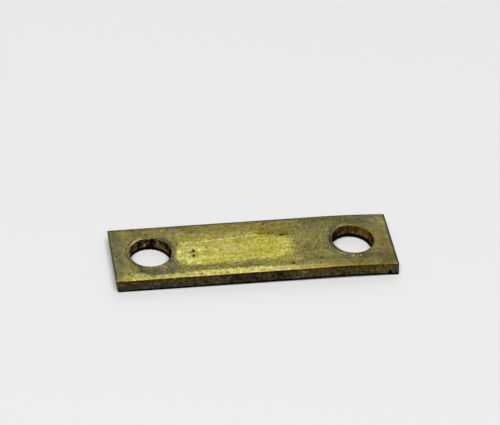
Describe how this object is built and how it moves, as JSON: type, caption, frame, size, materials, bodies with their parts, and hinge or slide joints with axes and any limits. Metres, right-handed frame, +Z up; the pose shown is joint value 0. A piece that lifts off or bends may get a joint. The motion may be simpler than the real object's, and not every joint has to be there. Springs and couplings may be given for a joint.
{
  "type": "bus bar",
  "caption": "Flat brass link strip with a bolt hole near each end, which joins terminals and carries current between them.",
  "frame": {"origin": "on the table under the middle of the strip, as it lies at rest", "axes": "+X along the strip to the end that is bent down, +Y across the strip to its far long edge, +Z up"},
  "size_m": [0.0605, 0.0164, 0.0036],
  "materials": {
    "brass": "olive tarnish, rubbed bright in the middle of the top and along its near edge, dark brown on the sheared edges"
  },
  "bodies": {
    "root": {"bus_bar": "brass"}
  },
  "joints": []
}
